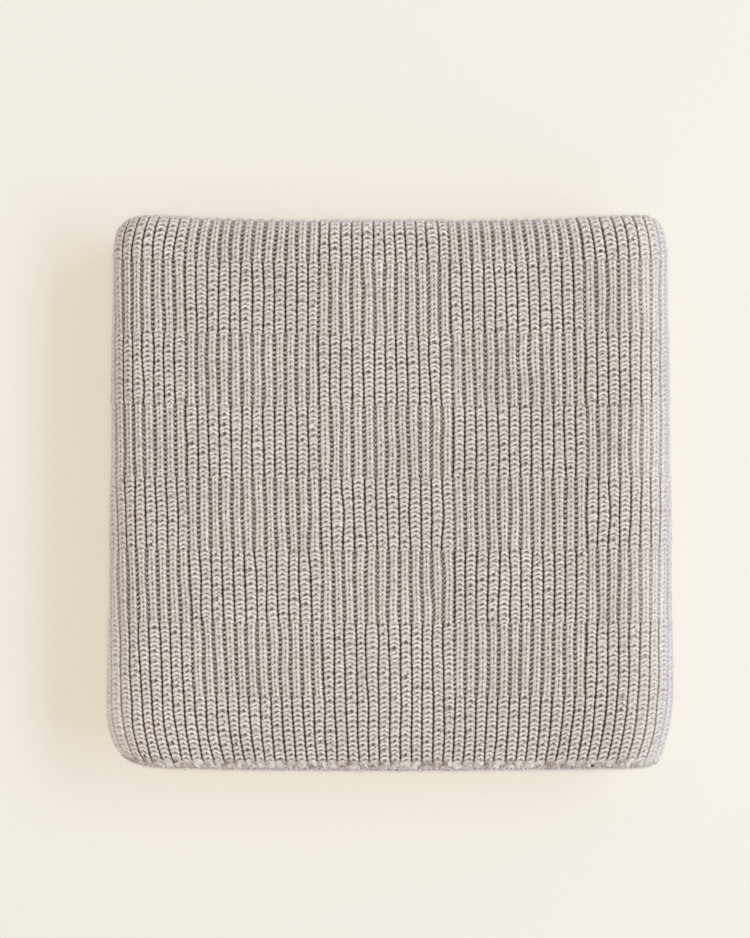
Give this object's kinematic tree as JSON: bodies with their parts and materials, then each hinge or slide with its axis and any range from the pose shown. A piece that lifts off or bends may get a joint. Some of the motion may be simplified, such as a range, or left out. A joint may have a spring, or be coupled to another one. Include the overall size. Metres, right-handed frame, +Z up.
{
  "type": "folded knitted blanket",
  "caption": "Small rib-knit cotton blanket folded into a flat square stack, its ribs running to a plain cast-on hem at the front.",
  "frame": {"origin": "middle of the blanket's outline seen from above, on the surface that it rests on", "axes": "+X to the right across the folded blanket, +Y to its back folds, +Z up"},
  "size_m": [0.2694, 0.2632, 0.053],
  "materials": {
    "cotton_knit": "matt light warm grey cotton rib knit"
  },
  "bodies": {
    "root": {"blanket": "cotton_knit"}
  },
  "joints": []
}
